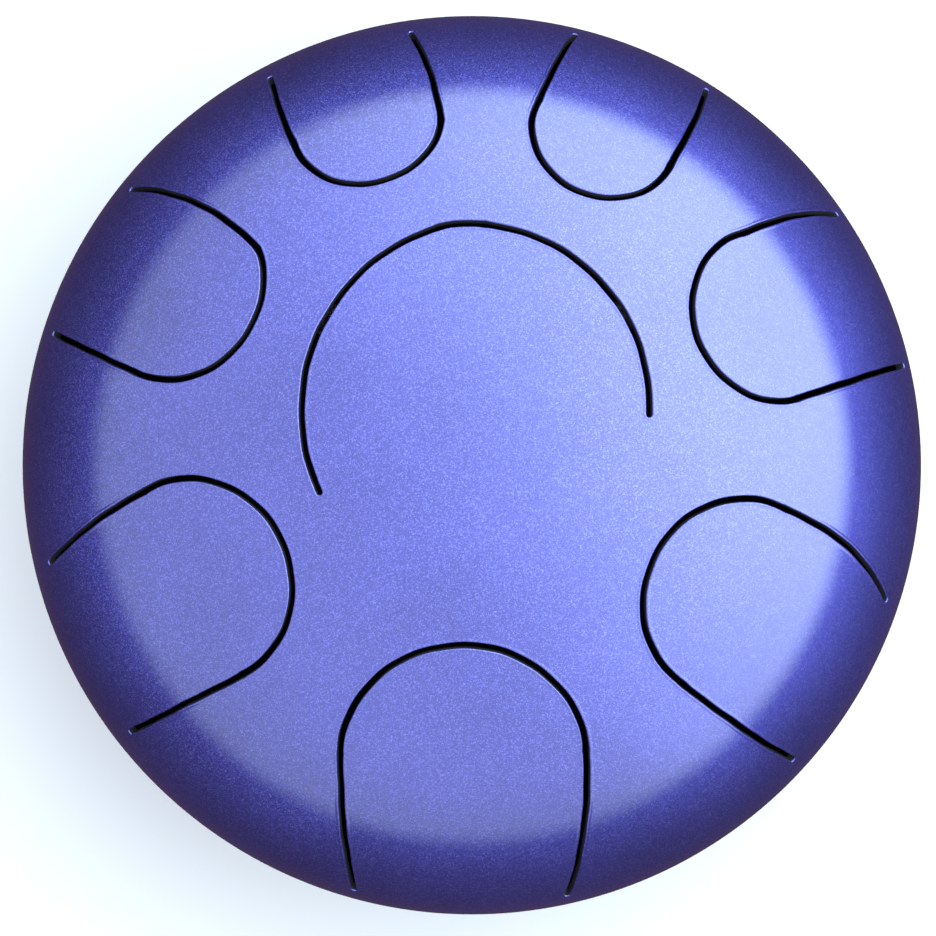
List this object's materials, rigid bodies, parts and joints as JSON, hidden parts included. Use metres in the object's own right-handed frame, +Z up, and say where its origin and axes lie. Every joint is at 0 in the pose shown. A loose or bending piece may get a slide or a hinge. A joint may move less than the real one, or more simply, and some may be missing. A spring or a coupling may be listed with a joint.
{
  "type": "steel tongue drum",
  "caption": "Domed steel drum with sprung tongues sawn into its upper head, a sound port below and bolted rubber feet.",
  "frame": {"origin": "on the floor under the middle of the drum", "axes": "+Z up along the drum's axis, +X to the player's right, -Y towards the player and the largest outer tongue"},
  "size_m": [0.3006, 0.3006, 0.182],
  "materials": {
    "body_paint": "glossy clear coat over fine metallic flake, violet-blue",
    "tongue_paint": "glossy clear coat over fine metallic flake, violet-blue",
    "weld_paint": "same paint over a dressed weld bead",
    "ring_steel": "dull rolled strip, primed",
    "foot_rubber": "matt black moulded rubber",
    "zinc_screw": "bright zinc plate",
    "zinc_washer": "dull zinc plate"
  },
  "bodies": {
    "shell": {"top_shell": "body_paint", "bottom_shell": "body_paint", "girth_weld": "weld_paint", "backing_ring": "ring_steel", "foot_1": "foot_rubber", "foot_2": "foot_rubber", "foot_3": "foot_rubber", "foot_4": "foot_rubber", "foot_screws": "zinc_screw", "foot_washers": "zinc_washer", "shell_washers": "zinc_washer", "lock_nuts": "zinc_screw"},
    "tongue_centre": {"tongue_centre": "tongue_paint"},
    "tongue_south": {"tongue_south": "tongue_paint"},
    "tongue_south_west": {"tongue_south_west": "tongue_paint"},
    "tongue_south_east": {"tongue_south_east": "tongue_paint"},
    "tongue_west": {"tongue_west": "tongue_paint"},
    "tongue_east": {"tongue_east": "tongue_paint"},
    "tongue_north_west": {"tongue_north_west": "tongue_paint"},
    "tongue_north_east": {"tongue_north_east": "tongue_paint"}
  },
  "joints": [
    {"name": "tongue_centre_flex", "type": "hinge", "parent": "shell", "child": "tongue_centre", "pos_m": [0.00399, 0.00367, 0.17548], "axis": [-0.9732, -0.2294, 0.017], "range_deg": [-1, 1], "stiffness_Nm_per_rad": 1650},
    {"name": "tongue_south_flex", "type": "hinge", "parent": "shell", "child": "tongue_south", "pos_m": [-0.00365, -0.13932, 0.1255], "axis": [-0.9997, 0.0262, 0], "range_deg": [-1, 1], "stiffness_Nm_per_rad": 1090},
    {"name": "tongue_south_west_flex", "type": "hinge", "parent": "shell", "child": "tongue_south_west", "pos_m": [-0.12401, -0.05915, 0.13032], "axis": [-0.4305, 0.9026, 0], "range_deg": [-1, 1], "stiffness_Nm_per_rad": 1070},
    {"name": "tongue_south_east_flex", "type": "hinge", "parent": "shell", "child": "tongue_south_east", "pos_m": [0.11962, -0.06976, 0.12884], "axis": [-0.5038, -0.8638, 0], "range_deg": [-1, 1], "stiffness_Nm_per_rad": 1010},
    {"name": "tongue_west_flex", "type": "hinge", "parent": "shell", "child": "tongue_west", "pos_m": [-0.12348, 0.06635, 0.12724], "axis": [0.4733, 0.8809, 0], "range_deg": [-1, 1], "stiffness_Nm_per_rad": 1020},
    {"name": "tongue_east_flex", "type": "hinge", "parent": "shell", "child": "tongue_east", "pos_m": [0.13005, 0.05722, 0.12356], "axis": [0.4027, -0.9153, 0], "range_deg": [-1, 1], "stiffness_Nm_per_rad": 1000},
    {"name": "tongue_north_west_flex", "type": "hinge", "parent": "shell", "child": "tongue_north_west", "pos_m": [-0.04273, 0.13347, 0.12806], "axis": [0.9524, 0.3049, 0], "range_deg": [-1, 1], "stiffness_Nm_per_rad": 1130},
    {"name": "tongue_north_east_flex", "type": "hinge", "parent": "shell", "child": "tongue_north_east", "pos_m": [0.0552, 0.13164, 0.12356], "axis": [0.9222, -0.3867, 0], "range_deg": [-1, 1], "stiffness_Nm_per_rad": 1000}
  ]
}
